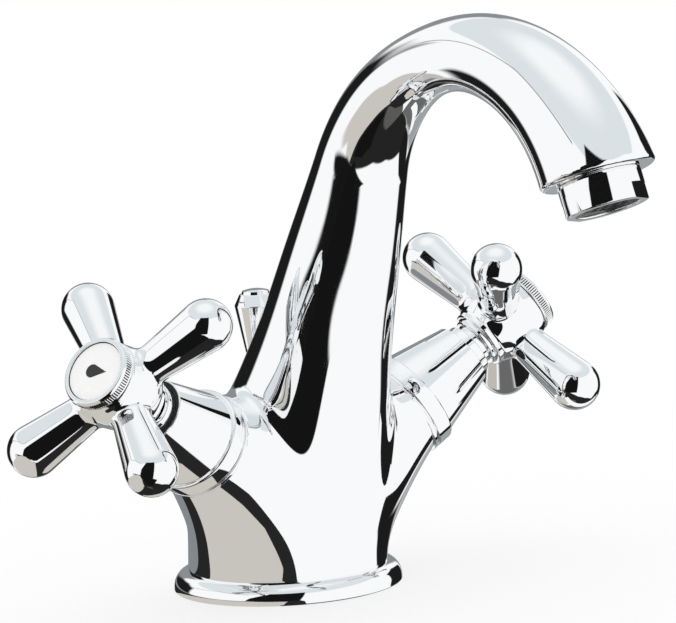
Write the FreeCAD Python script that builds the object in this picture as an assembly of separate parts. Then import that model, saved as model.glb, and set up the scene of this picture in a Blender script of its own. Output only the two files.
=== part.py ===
import FreeCAD, Part
import math
import os

Vec = FreeCAD.Vector
X_AXIS, Y_AXIS, Z_AXIS = Vec(1, 0, 0), Vec(0, 1, 0), Vec(0, 0, 1)

# Basin mixer tap with two cross handles. Millimetres and degrees.
# The origin is the centre of the underside, +Z is up and the spout points to -Y.

# Clearances
thread_gap = 0.05      # radial, between screwed or pushed-in fixed pieces
run_gap = 0.05         # radial, between a turning or sliding shaft and its hole
slide_gap = 0.02       # between the two ceramic discs
cover_gap = 0.3        # between a turning handle and its cover

# Foot, base ring and base gasket
foot_r = 24.7
spigot_step = 4.7      # from the foot's edge in to the spigot that holds the ring
ring_overhang = 3.4    # from the ring's top out to its edge
ring_height = 5.0
ring_band = 0.9        # upright band round the ring's edge
ring_chamfer = 0.3
ring_lap = 0.4         # how far the ring's top stands out past the foot
gasket_inset = 5.0     # from the ring's edge in to the middle of the gasket
gasket_width = 3.2
gasket_thick = 1.6

# Spout: a leaning neck, then one arch to the outlet
neck_foot_z = 14.6     # height where the leaning centre line meets the upright axis
neck_lean = 22.0
neck_length = 99.5
arch_r = 45.6
arch_turn = 134.0
outlet_tilt = 20.0     # from upright, of the aerator's axis
waist_r = 22.8
root_r = 20.6
neck_r = 17.0
shoulder_r = 11.4
slim_r = 8.35
lip_r = 13.8
waist_run = 13.0       # runs are lengths along the centre line
root_run = 30.0
throat_run = 51.0
slim_turn = 49.0       # how far round the arch the slimmest place is
spout_wall = 2.6

# Valve axes: both start on the middle plane and rise outwards, swept a little to the front
meet_y = -1.8
meet_z = 19.2
valve_slope = 32.8
valve_sweep = 13.2
boss_end = 38.4        # runs along a valve axis count from where the two axes meet
boss_r = 13.1
boss_root_r = 18.0     # each boss grows out of the foot with this radius
boss_root_inset = 2.5
boss_root_z = 8.0
boss_middle_run = 21.0
boss_middle_r = 17.6
boss_blend = 4.0       # rounding where a boss runs into the body
lip_round = 1.0

# Waterways in the body
headwork_depth = 18.9
thread_r = 10.4        # headwork thread
chamber_r = 5.5
chamber_depth = 11.5
channel_r = 5.0
channel_run = 28.0
bore_start_run = 28.0
bore_start_r = 8.0
inlet_x = 9.0
inlet_y = -4.0
inlet_thread_r = 4.5
inlet_thread_length = 14.0
inlet_feed_r = 3.4
stud_y = -12.5
stud_r = 3.4
stud_depth = 16.0

# Headwork and its discs
seat_seal_height = 2.4
seat_seal_r = 8.0
seat_seal_bore = 5.6
disc_r = 8.2
disc_thick = 2.6
port_r = 2.2
port_offset = 4.7
peg_r = 1.1
peg_offset = 5.6
peg_length = 1.4
skirt_r = 10.0
skirt_lift = 0.6       # skirt's clearance above the seat
window_width = 8.0
driver_thick = 3.4
thrust_thick = 0.8
washer_thick = 1.0
washer_r = 12.0
flange_r = 12.15
flange_thick = 1.8
hex_flats = 17.0
hex_height = 3.0
headneck_r = 6.4
headneck_inset = 5.3    # from the cover's mouth back to the headwork's end
spindle_r = 4.0
oring_groove_r = 2.8
oring_groove_width = 1.6
oring_pitch = 4.0
clip_thick = 0.8
clip_r = 5.6
clip_groove_r = 3.2
clip_slot = 3.0
spline_teeth = 20
spline_root_r = 3.6
spindle_set = 4.65     # from the spindle's end to the arms' plane

# Bonnet cover
cover_r = 13.4
cover_lip = 1.0
cover_groove_depth = 0.5
cover_groove_width = 0.5
cover_bead = 4.4
cone_wide_r = 11.0
cone_narrow_r = 7.8
cone_length = 15.4
cover_shoulder = 1.1
cover_wall = 1.4

# Cross handle
sleeve_show = 4.3      # bare sleeve between the cover's mouth and the hub's steps
sleeve_r = 5.3
sleeve_lift = 1.5      # from the start of the spindle's splines to the sleeve's end
step_r = 6.7
step_length = 1.2
rim_r = 7.9
rim_length = 1.0
hub_rear = 7.0         # from the arms' plane back to the rim
hub_front = 7.5        # from the arms' plane to the front face
hub_r = 10.0
hub_front_r = 9.0
arm_count = 4
arm_root_r = 4.3
arm_start = 6.0
arm_reach = 26.4       # valve axis to the middle of a ball end
ball_r = 6.5
right_spin = 44.0      # how the closed handles stand, from level
left_spin = 49.0

# Handle screw and index cap
screw_r = 2.0
screw_length = 11.0
screw_head_r = 3.6
screw_head_height = 2.4
web_thick = 3.0
plug_r = 7.2
plug_length = 3.6
cap_r = 9.2
cap_height = 3.0
cap_edge = 0.5
cap_rim = 0.5          # upright lip round the index disc
index_r = 7.3
index_thick = 1.1

# Aerator
aerator_r = 9.87
aerator_length = 7.7
aerator_thread_r = 9.2
aerator_thread_length = 8.0
aerator_bore = 8.3
aerator_lip_r = 7.5
aerator_lip_height = 1.0
aerator_washer_thick = 1.2
aerator_washer_bore = 6.4
key_turn = -39.6       # direction of the two spanner flats
key_depth = 1.1
key_height = 3.7
insert_height = 12.0
insert_wall = 1.1
insert_plate = 1.6
insert_hole_r = 0.9
insert_hole_pitch = 2.7
screen_thick = 0.6

# Lift rod for the pop-up waste
rod_y = 6.5
rod_r = 2.5
rod_foot = 2.0
rod_boss_r = 5.6
rod_boss_top = 52.0
spot_face = 12.0       # height cut clear above the rod's boss
rod_boss_root = 25.0
bush_r = 4.0
bush_length = 8.0
bush_flange_r = 4.7
bush_flange = 1.0
bush_groove_r = 3.5
bush_groove_width = 1.3
rod_end_r = 1.65
rod_end_depth = 8.0
knob_foot = 58.0
knob_foot_r = 3.2
knob_r = 5.4
knob_cone = 12.0
knob_chamfer = 1.7
knob_chamfer_rise = 3.4
knob_dome = 0.7
knob_socket = 9.0

# Derived radii of the foot
spigot_r = foot_r - spigot_step
ring_top_r = foot_r + ring_lap
ring_r = ring_top_r + ring_overhang
gasket_r = ring_r - gasket_inset

# Derived places along a valve axis
cone_run = boss_end + cover_lip + cover_groove_width + cover_bead
cover_end = cone_run + cone_length + cover_shoulder
step_run = cover_end + sleeve_show
rim_run = step_run + step_length
hub_rear_run = rim_run + rim_length
cross_run = hub_rear_run + hub_rear
hub_front_run = cross_run + hub_front
headneck_top = cover_end - headneck_inset
clip_run = headneck_top + run_gap
spline_run = clip_run + 2 * clip_thick
sleeve_run = spline_run + sleeve_lift
spindle_end = cross_run - spindle_set
spline_length = spindle_end - spline_run
web_run = spindle_end + slide_gap
screw_seat_run = web_run + web_thick
recess_run = hub_front_run - plug_length
cap_run = hub_front_run + cap_height
index_run = cap_run - cap_rim
seat_run = boss_end - headwork_depth
fixed_disc_run = seat_run + seat_seal_height
moving_disc_run = fixed_disc_run + disc_thick + slide_gap
driver_run = moving_disc_run + disc_thick
driver_top = driver_run + driver_thick
chamber_top = driver_top + thrust_thick + slide_gap
flange_run = boss_end + washer_thick
hex_run = flange_run + flange_thick
headneck_run = hex_run + hex_height

# Derived radii of the headwork
skirt_bore = disc_r + run_gap
neck_bore = spindle_r + run_gap

# Derived directions of the right valve, level and along its axis
slope, sweep = math.radians(valve_slope), math.radians(valve_sweep)
valve_out = Vec(math.cos(sweep), -math.sin(sweep), 0)
valve_back = Vec(math.sin(sweep), math.cos(sweep), 0)
valve_axis = valve_out * math.cos(slope) + Z_AXIS * math.sin(slope)

# Derived places on the spout
lean = math.radians(neck_lean)
arch_length = arch_r * math.radians(arch_turn)
path_length = neck_length + arch_length
slim_run = neck_length + arch_r * math.radians(slim_turn)


def turned(profile):
    # Solid turned about Z from (radius, height) points; four numbers are an arc's middle and end.
    edges = []
    last = profile[0]
    for point in profile[1:] + profile[:1]:
        start = Vec(last[-2], 0, last[-1])
        end = Vec(point[-2], 0, point[-1])
        if len(point) == 4:
            edges.append(Part.Arc(start, Vec(point[0], 0, point[1]), end).toShape())
        else:
            edges.append(Part.makeLine(start, end))
        last = point
    return Part.Face(Part.Wire(edges)).revolve(Vec(), Z_AXIS, 360)


def ring(inner, outer, low, high):
    return turned([(inner, low), (outer, low), (outer, high), (inner, high)])


def rod(radius, low, high, x=0.0, y=0.0):
    return Part.makeCylinder(radius, high - low, Vec(x, y, low))


def spun(shape, angle):
    turned_copy = shape.copy()
    turned_copy.rotate(Vec(), Z_AXIS, angle)
    return turned_copy


def prism(points, low, height):
    corners = [Vec(x, y, low) for x, y in points]
    return Part.Face(Part.makePolygon(corners + corners[:1])).extrude(Vec(0, 0, height))


def star(tip_r, root_r, low, height):
    # Splined length: straight-sided teeth between the two radii.
    points = []
    for k in range(2 * spline_teeth):
        radius = tip_r if k % 2 else root_r
        turn = math.pi * k / spline_teeth
        points.append((radius * math.cos(turn), radius * math.sin(turn)))
    return prism(points, low, height)


def frame_matrix(x, y, z, origin):
    return FreeCAD.Matrix(
        x.x, y.x, z.x, origin.x,
        x.y, y.y, z.y, origin.y,
        x.z, y.z, z.z, origin.z,
        0, 0, 0, 1)


def valve_matrix():
    # Local Z runs out along the right valve axis, local X is level and points back.
    return frame_matrix(valve_back, valve_axis.cross(valve_back), valve_axis, Vec(0, meet_y, meet_z))


def path_point(run):
    # Point and direction of the spout's centre line, counted from the foot of the leaning neck.
    straight = min(run, neck_length)
    y = -straight * math.sin(lean)
    z = neck_foot_z + straight * math.cos(lean)
    angle = lean
    if run > neck_length:
        turn = (run - neck_length) / arch_r
        centre_y = y - arch_r * math.cos(lean)
        centre_z = z - arch_r * math.sin(lean)
        angle = lean + turn
        y = centre_y + arch_r * math.cos(angle)
        z = centre_z + arch_r * math.sin(angle)
    return Vec(0, y, z), Vec(0, -math.sin(angle), math.cos(angle))


def circle_at(point, across, direction, radius):
    # Circle square to a direction, with its start on the side named by across.
    circle = Part.Wire(Part.makeCircle(radius))
    return circle.transformed(frame_matrix(across, direction.cross(across), direction, point), True)


def spout_circle(run, radius):
    point, direction = path_point(run)
    return circle_at(point, X_AXIS, direction, radius)


def between(first, last, count):
    # Evenly spaced (run, radius) stations from first to last, without the last.
    steps = [k / count for k in range(count)]
    return [tuple(a + (b - a) * t for a, b in zip(first, last)) for t in steps]


def spout_stations():
    stations = [(waist_run, waist_r), (root_run, root_r)]
    stations += between((throat_run, neck_r), (neck_length, shoulder_r), 3)
    stations += between((neck_length, shoulder_r), (slim_run, slim_r), 3)
    return stations + between((slim_run, slim_r), (path_length, lip_r), 5)


def outlet_matrix():
    # Local Z points out of the spout's mouth, local X is the tap's X.
    tilt = math.radians(outlet_tilt)
    direction = Vec(0, -math.sin(tilt), -math.cos(tilt))
    return frame_matrix(X_AXIS, direction.cross(X_AXIS), direction, path_point(path_length)[0])


def outlet_circle(radius):
    return Part.Wire(Part.makeCircle(radius)).transformed(outlet_matrix(), True)


def on_valves(shape):
    right = shape.transformed(valve_matrix(), True)
    return {"right": right, "left": right.mirror(Vec(), X_AXIS)}


def at_outlet(shape):
    return shape.transformed(outlet_matrix(), True)


def edges_between(solid, first, second):
    # Edges where a face of one kind of surface meets another face of the other kind.
    wanted = sorted(["Part::Geom" + first, "Part::Geom" + second])
    found = []
    for edge in solid.Edges:
        faces = {face.hashCode(): face for face in solid.ancestorsOfType(edge, Part.Face)}
        if sorted(face.Surface.TypeId for face in faces.values()) == wanted:
            found.append(edge)
    return found


# Fixed pieces of the tap
def make_body():
    foot = circle_at(Vec(0, 0, ring_height), X_AXIS, Z_AXIS, foot_r)
    circles = [foot] + [spout_circle(run, radius) for run, radius in spout_stations()]
    shell = Part.makeLoft(circles + [outlet_circle(lip_r)], True)
    right_boss = make_boss()
    casting = shell.multiFuse([right_boss, right_boss.mirror(Vec(), X_AXIS)]).removeSplitter()
    casting = casting.makeFillet(boss_blend, edges_between(casting, "BSplineSurface", "BSplineSurface"))
    rims = edges_between(casting, "BSplineSurface", "Plane")
    casting = casting.makeFillet(lip_round, [max(rims, key=lambda edge: edge.BoundBox.ZMin)])
    spigot = rod(spigot_r, 0, ring_height + ring_band)
    rod_boss = rod(rod_boss_r, rod_boss_root, rod_boss_top, 0, rod_y)
    solid = casting.multiFuse([spigot, rod_boss])
    return solid.cut(body_cuts()).removeSplitter().Solids[0]


def make_boss():
    # Right boss: it leaves the foot upright and bends over to the valve axis.
    meet = Vec(0, meet_y, meet_z)
    inset = foot_r - boss_root_r - boss_root_inset
    root = valve_out * inset + Vec(0, 0, boss_root_z)
    halfway = (Z_AXIS + valve_axis).normalize()
    return Part.makeLoft([
        circle_at(root, valve_back, Z_AXIS, boss_root_r),
        circle_at(meet + valve_axis * boss_middle_run, valve_back, halfway, boss_middle_r),
        circle_at(meet + valve_axis * boss_end, valve_back, valve_axis, boss_r)], True)


def body_cuts():
    # Valve bores, inlet ways, mixing way, spout bore, aerator thread, stud hole and rod hole.
    cuts = []
    valve_bore = rod(thread_r + thread_gap, seat_run, boss_end + boss_r)
    chamber = rod(chamber_r, seat_run - chamber_depth, seat_run)
    for side, shape in on_valves(valve_bore.fuse(chamber)).items():
        sign = 1 if side == "right" else -1
        x = sign * inlet_x
        feed_top = meet_z + inlet_x / math.cos(sweep) * math.tan(slope)
        cuts += [shape, rod(inlet_thread_r, 0, inlet_thread_length, x, inlet_y)]
        cuts.append(rod(inlet_feed_r, 0, feed_top, x, inlet_y))
        start = valve_matrix().multVec(Vec(0, 0, channel_run))
        start = Vec(sign * start.x, start.y, start.z)
        way = path_point(bore_start_run + channel_r)[0] - start
        cuts.append(Part.makeCylinder(channel_r, way.Length, start, way))
    bore_end_r = aerator_thread_r - spout_wall / 2
    circles = [spout_circle(bore_start_run, bore_start_r)]
    for run, radius in spout_stations():
        if run > bore_start_run + bore_start_r:
            circles.append(spout_circle(run, min(radius - spout_wall, bore_end_r)))
    cuts.append(Part.makeLoft(circles + [outlet_circle(bore_end_r)], True))
    mouth = rod(aerator_thread_r + thread_gap, -aerator_thread_length - aerator_washer_thick, aerator_r)
    cuts.append(at_outlet(mouth))
    cuts.append(rod(stud_r, 0, stud_depth, 0, stud_y))
    cuts.append(rod(rod_r + cover_gap, 0, rod_boss_top, 0, rod_y))
    cuts.append(rod(bush_flange_r + cover_gap, rod_boss_top, rod_boss_top + spot_face, 0, rod_y))
    cuts.append(rod(bush_r + thread_gap, rod_boss_top - bush_length, rod_boss_top, 0, rod_y))
    return cuts


def make_base_ring():
    middle = math.radians(45)
    arc_r, arc_z = ring_overhang, ring_height - ring_band
    profile = [
        (spigot_r + thread_gap, 0), (ring_r - ring_chamfer, 0), (ring_r, ring_chamfer), (ring_r, ring_band),
        (ring_top_r + arc_r * math.cos(middle), ring_band + arc_z * math.sin(middle), ring_top_r, ring_height),
        (spigot_r + thread_gap, ring_height)]
    groove = ring(gasket_r - gasket_width / 2, gasket_r + gasket_width / 2, 0, gasket_thick)
    return turned(profile).cut(groove)


def make_base_gasket():
    half = gasket_width / 2 - thread_gap
    return ring(gasket_r - half, gasket_r + half, 0, gasket_thick)


def make_headwork():
    skirt_low = seat_run + skirt_lift
    solid = turned([
        (skirt_bore, skirt_low), (skirt_r, skirt_low), (skirt_r, chamber_top), (thread_r, chamber_top),
        (thread_r, flange_run), (flange_r, flange_run), (flange_r, hex_run), (headneck_r, hex_run),
        (headneck_r, headneck_top), (neck_bore, headneck_top), (neck_bore, chamber_top),
        (skirt_bore, chamber_top)])
    corner_r = hex_flats / 2 / math.cos(math.pi / 6)
    corners = [(corner_r * math.cos(k * math.pi / 3), corner_r * math.sin(k * math.pi / 3)) for k in range(6)]
    nut = prism(corners, hex_run, hex_height).cut(rod(headneck_r - thread_gap, hex_run, headneck_run))
    length = 2 * thread_r
    low = moving_disc_run + slide_gap
    window = Part.makeBox(length, window_width, driver_top - low, Vec(-length / 2, -window_width / 2, low))
    keep = rod(skirt_bore, low, driver_top)
    return solid.fuse(nut).cut(window.cut(keep)).removeSplitter().Solids[0]


def make_disc(low, port_turn, with_pegs):
    disc = rod(disc_r - run_gap, low, low + disc_thick)
    for k in range(2):
        turn = math.radians(port_turn) + k * math.pi
        disc = disc.cut(rod(port_r, low, low + disc_thick,
                            port_offset * math.cos(turn), port_offset * math.sin(turn)))
        if with_pegs:
            x = peg_offset if k else -peg_offset
            disc = disc.cut(rod(peg_r + thread_gap, low, low + disc_thick, x, 0))
    return disc


def oring_runs():
    middle = (hex_run + headneck_top) / 2
    return [middle - oring_pitch / 2, middle + oring_pitch / 2]


def make_spindle():
    groove = oring_groove_width / 2
    profile = [(0, driver_run), (disc_r - run_gap, driver_run), (disc_r - run_gap, driver_top),
               (spindle_r, driver_top)]
    for run in oring_runs():
        profile += [(spindle_r, run - groove), (oring_groove_r, run - groove),
                    (oring_groove_r, run + groove), (spindle_r, run + groove)]
    clip_top = clip_run + clip_thick + slide_gap
    profile += [(spindle_r, clip_run), (clip_groove_r, clip_run), (clip_groove_r, clip_top),
                (spindle_r, clip_top), (spindle_r, spline_run), (0, spline_run)]
    solid = turned(profile).fuse(star(spindle_r, spline_root_r, spline_run, spline_length))
    pegs = [rod(peg_r, driver_run - peg_length, driver_run, x, 0) for x in (-peg_offset, peg_offset)]
    hole = rod(screw_r + thread_gap, spindle_end - screw_length, spindle_end)
    return solid.multiFuse(pegs).cut(hole).removeSplitter().Solids[0]


def make_spindle_seals():
    tube_r = (neck_bore - oring_groove_r) / 2 - slide_gap
    seals = [Part.makeTorus(oring_groove_r + tube_r + slide_gap, tube_r, Vec(0, 0, run)) for run in oring_runs()]
    return Part.makeCompound(seals)


def make_circlip():
    clip = ring(clip_groove_r + slide_gap, clip_r, clip_run, clip_run + clip_thick)
    slot = Part.makeBox(clip_r, clip_slot, clip_thick, Vec(0, -clip_slot / 2, clip_run))
    return clip.cut(slot)


def make_cover():
    groove_run = boss_end + cover_lip
    bead_run = groove_run + cover_groove_width
    groove_r = cover_r - cover_groove_depth
    round_r = (cover_r - cone_wide_r) * 0.5
    round_mid = (cover_r - round_r * (1 - math.cos(math.pi / 4)), cone_run - round_r * (1 - math.sin(math.pi / 4)))
    shoulder_mid = (cone_narrow_r - cover_shoulder * (1 - math.cos(math.pi / 4)),
                    cone_run + cone_length + cover_shoulder * math.sin(math.pi / 4))
    inner_wide = cone_wide_r - cover_wall
    inner_top = cone_run + cone_length
    mouth_r = sleeve_r + cover_gap
    bay_r = flange_r + thread_gap
    bay_top = cone_run - (bay_r - inner_wide)
    return turned([
        (bay_r, boss_end), (cover_r, boss_end), (cover_r, groove_run), (groove_r, groove_run),
        (groove_r, bead_run), (cover_r, bead_run), (cover_r, cone_run - round_r),
        (*round_mid, cover_r - round_r, cone_run), (cone_wide_r, cone_run),
        (cone_narrow_r, cone_run + cone_length),
        (*shoulder_mid, cone_narrow_r - cover_shoulder, cover_end), (mouth_r, cover_end),
        (mouth_r, inner_top), (cone_narrow_r - cover_wall, inner_top - cover_wall),
        (inner_wide, cone_run), (bay_r, bay_top)])


# Pieces that turn with a handle
def make_arm():
    # One arm turned about its own axis: a taper that runs on into the ball end.
    rise = math.asin((ball_r - arm_root_r) / (arm_reach - arm_start))
    touch = (ball_r * math.cos(rise), arm_reach - ball_r * math.sin(rise))
    middle = (math.pi / 2 - rise) / 2
    arc = (ball_r * math.cos(middle), arm_reach + ball_r * math.sin(middle))
    arm = turned([(0, arm_start), (arm_root_r, arm_start), touch, (*arc, 0, arm_reach + ball_r)])
    arm.rotate(Vec(), Y_AXIS, 90)
    arm.translate(Vec(0, 0, cross_run))
    return arm


def make_handle(spin):
    bow = hub_r - rim_r
    front_bow = hub_r - hub_front_r
    half = 0.5
    hub = turned([
        (0, sleeve_run), (sleeve_r, sleeve_run), (sleeve_r, step_run),
        (step_r, step_run), (step_r, rim_run), (rim_r, rim_run),
        (rim_r, hub_rear_run), (rim_r + bow * math.sin(math.pi / 4), cross_run - hub_rear * half, hub_r, cross_run),
        (hub_r - front_bow * half * half, cross_run + hub_front * half, hub_front_r, hub_front_run),
        (0, hub_front_run)])
    arm = make_arm()
    arms = [spun(arm, 360.0 * k / arm_count) for k in range(arm_count)]
    socket = star(spindle_r + thread_gap, spline_root_r + thread_gap, sleeve_run, web_run - sleeve_run)
    screw_hole = rod(screw_r + thread_gap, web_run, screw_seat_run)
    recess = rod(plug_r + thread_gap, screw_seat_run, hub_front_run)
    solid = spun(hub.multiFuse(arms), spin).cut([socket, screw_hole, recess])
    return solid.removeSplitter().Solids[0]


def make_handle_screw():
    head_top = screw_seat_run + screw_head_height
    shank_low = spindle_end - screw_length + screw_r
    solid = rod(screw_r, shank_low, screw_seat_run).fuse(rod(screw_head_r, screw_seat_run, head_top))
    slot_depth = screw_head_height / 2
    slot = Part.makeBox(2 * screw_head_r, screw_r / 2, slot_depth,
                        Vec(-screw_head_r, -screw_r / 4, head_top - slot_depth))
    return solid.cut(slot).removeSplitter().Solids[0]


def make_index_cap():
    floor = index_run - index_thick
    index_bore = index_r + thread_gap
    return turned([
        (0, recess_run), (plug_r, recess_run), (plug_r, hub_front_run), (cap_r, hub_front_run),
        (cap_r, cap_run - cap_edge), (cap_r - cap_edge, cap_run), (index_bore, cap_run),
        (index_bore, floor), (0, floor)])


def make_index_disc():
    return rod(index_r, index_run - index_thick, index_run)


# Aerator pieces, along the outlet axis from the spout's lip
def make_aerator_housing():
    low = -aerator_thread_length
    lip = aerator_length - aerator_lip_height
    solid = turned([
        (aerator_bore, low), (aerator_thread_r, low), (aerator_thread_r, 0), (aerator_r, 0),
        (aerator_r, aerator_length), (aerator_lip_r, aerator_length), (aerator_lip_r, lip), (aerator_bore, lip)])
    flat = aerator_r - key_depth
    size = 2 * aerator_r
    for side in (0, 180):
        cutter = Part.makeBox(size, size, key_height, Vec(flat, -size / 2, aerator_length - key_height))
        solid = solid.cut(spun(cutter, key_turn + side))
    return solid


def make_aerator_insert():
    top = aerator_length - aerator_lip_height
    low = top - insert_height
    outer = aerator_bore - thread_gap
    plate_low = top - insert_plate
    solid = turned([
        (outer - insert_wall, low), (outer, low), (outer, top), (0, top), (0, plate_low),
        (outer - insert_wall, plate_low)])
    holes = []
    rows = int((outer - insert_wall) / insert_hole_pitch)
    for i in range(-rows, rows + 1):
        for j in range(-rows, rows + 1):
            x = insert_hole_pitch * (i + j / 2)
            y = insert_hole_pitch * j * math.sqrt(3) / 2
            if math.hypot(x, y) < aerator_lip_r - 2 * insert_hole_r:
                holes.append(rod(insert_hole_r, plate_low, top, x, y))
    return solid.cut(holes)


def make_aerator_screen():
    low = aerator_length - aerator_lip_height - insert_height - screen_thick
    return rod(aerator_bore - thread_gap, low, low + screen_thick)


def make_aerator_washer():
    low = -aerator_thread_length - aerator_washer_thick
    return ring(aerator_washer_bore, aerator_thread_r, low, -aerator_thread_length)


# Lift rod pieces
def make_rod_bush():
    groove = rod_boss_top - bush_length / 2
    half = bush_groove_width / 2
    bore = rod_r + run_gap
    bush = turned([
        (bore, rod_boss_top - bush_length), (bush_r, rod_boss_top - bush_length), (bush_r, rod_boss_top),
        (bush_flange_r, rod_boss_top), (bush_flange_r, rod_boss_top + bush_flange),
        (bore, rod_boss_top + bush_flange), (bore, groove + half), (bush_groove_r, groove + half),
        (bush_groove_r, groove - half), (bore, groove - half)])
    return moved_to_rod(bush)


def make_rod_seal():
    tube_r = (bush_groove_r - rod_r - run_gap) / 2
    seal = Part.makeTorus(bush_groove_r - tube_r, tube_r, Vec(0, 0, rod_boss_top - bush_length / 2))
    return moved_to_rod(seal)


def make_lift_rod():
    solid = rod(rod_r, rod_foot, knob_foot + knob_socket)
    return moved_to_rod(solid.cut(rod(rod_end_r, rod_foot, rod_foot + rod_end_depth)))


def make_lift_knob():
    wide = knob_foot + knob_cone
    top = wide + knob_chamfer_rise
    top_r = knob_r - knob_chamfer
    ball = (top_r ** 2 + knob_dome ** 2) / (2 * knob_dome)
    half = math.asin(top_r / ball) / 2
    dome_mid = (ball * math.sin(half), top + knob_dome - ball * (1 - math.cos(half)))
    knob = turned([(0, knob_foot), (knob_foot_r, knob_foot), (knob_r, wide), (top_r, top),
                   (*dome_mid, 0, top + knob_dome)])
    return moved_to_rod(knob.cut(rod(rod_r + thread_gap, knob_foot, knob_foot + knob_socket)))


def moved_to_rod(shape):
    shape.translate(Vec(0, rod_y, 0))
    return shape


def all_pieces():
    pieces = {
        "body": make_body(), "base_ring": make_base_ring(), "base_gasket": make_base_gasket(),
        "aerator_housing": at_outlet(make_aerator_housing()),
        "aerator_insert": at_outlet(make_aerator_insert()),
        "aerator_screen": at_outlet(make_aerator_screen()),
        "aerator_washer": at_outlet(make_aerator_washer()),
        "rod_bush": make_rod_bush(), "rod_seal": make_rod_seal(),
        "lift_rod": make_lift_rod(), "lift_knob": make_lift_knob()}
    per_valve = {
        "bonnet_cover": make_cover(), "headwork_body": make_headwork(),
        "headwork_washer": ring(thread_r + thread_gap, washer_r, boss_end, flange_run),
        "seat_seal": ring(seat_seal_bore, seat_seal_r, seat_run, fixed_disc_run),
        "fixed_disc": make_disc(fixed_disc_run, 0, False),
        "moving_disc": make_disc(moving_disc_run, 90, True),
        "spindle": make_spindle(), "spindle_seals": make_spindle_seals(), "circlip": make_circlip(),
        "thrust_washer": ring(neck_bore, disc_r - run_gap, driver_top, driver_top + thrust_thick),
        "handle_screw": make_handle_screw(), "index_cap": make_index_cap(), "index_disc": make_index_disc()}
    for name, shape in per_valve.items():
        for side, placed in on_valves(shape).items():
            pieces[side + "_" + name] = placed
    pieces["right_handle"] = on_valves(make_handle(right_spin))["right"]
    pieces["left_handle"] = on_valves(make_handle(left_spin))["left"]
    return pieces


os.makedirs("parts", exist_ok=True)
for node, piece in all_pieces().items():
    piece.exportStep("parts/" + node + ".step")
    print(node, "solids", len(piece.Solids), "valid", piece.isValid(), "volume %.1f" % piece.Volume)
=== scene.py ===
import math

import bpy
import numpy as np
from mathutils import Matrix, Vector


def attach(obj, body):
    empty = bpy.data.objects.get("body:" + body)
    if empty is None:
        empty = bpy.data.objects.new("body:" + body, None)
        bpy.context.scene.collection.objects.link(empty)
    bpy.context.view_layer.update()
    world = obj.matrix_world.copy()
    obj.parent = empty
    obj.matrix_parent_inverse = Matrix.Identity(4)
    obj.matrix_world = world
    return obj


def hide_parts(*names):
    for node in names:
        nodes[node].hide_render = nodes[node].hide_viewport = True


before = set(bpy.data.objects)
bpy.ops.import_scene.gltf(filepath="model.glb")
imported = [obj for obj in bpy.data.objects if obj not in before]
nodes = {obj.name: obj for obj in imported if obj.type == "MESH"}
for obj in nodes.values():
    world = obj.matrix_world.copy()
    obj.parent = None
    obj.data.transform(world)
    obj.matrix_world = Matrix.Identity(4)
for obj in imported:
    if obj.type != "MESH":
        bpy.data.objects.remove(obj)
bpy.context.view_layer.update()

mm = 0.001

tapBody, liftSet = "tap_body", "lift_set"
handleSets = {"left": "left_handle_set", "right": "right_handle_set"}


# Colours are written as sRGB hex and used as linear values
def linearColour(text):
    channels = [int(text[k:k + 2], 16) / 255 for k in (1, 3, 5)]
    return [c / 12.92 if c <= 0.04045 else ((c + 0.055) / 1.055) ** 2.4 for c in channels] + [1.0]


# Adds one node: settings go on the node or its inputs, links map an input to another node's output
def addNode(tree, kind, settings=None, links=None):
    node = tree.nodes.new(kind)
    for key, value in (settings or {}).items():
        if isinstance(key, str) and hasattr(node, key):
            setattr(node, key, value)
        else:
            node.inputs[key].default_value = value
    for key, (source, socket) in (links or {}).items():
        tree.links.new(source.outputs[socket], node.inputs[key])
    return node


# Adds a node with numbered inputs, each a plain value or a (node, socket) pair
def addNumbered(tree, kind, settings, inputs):
    links = {k: value for k, value in inputs.items() if isinstance(value, tuple)}
    plain = {k: value for k, value in inputs.items() if k not in links}
    return addNode(tree, kind, {**settings, **plain}, links)


def addMath(tree, operation, *inputs):
    return addNumbered(tree, "ShaderNodeMath", {"operation": operation}, dict(enumerate(inputs))), "Value"


mixSockets = {"factor": 0, "first": 6, "second": 7, "result": 2}      # of a Mix node that mixes colours


def mixColours(tree, factor, first, second):
    inputs = {mixSockets["factor"]: factor, mixSockets["first"]: first, mixSockets["second"]: second}
    return addNumbered(tree, "ShaderNodeMix", {"data_type": "RGBA"}, inputs), mixSockets["result"]


def newMaterial(name):
    material = bpy.data.materials.new(name)
    material.use_nodes = True
    material.node_tree.nodes.clear()
    return material, material.node_tree


# Bright chrome plate on polished brass: a mirror with a trace of polishing haze and a very slight waviness
chromePlate = {"colour": "#f8f9fa", "roughness": (0.015, 0.05), "hazeMm": 9.0, "hazeDetail": 4.0,
               "hazeRange": (0.35, 0.75), "waveMm": 14.0, "wave": 0.012}


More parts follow.
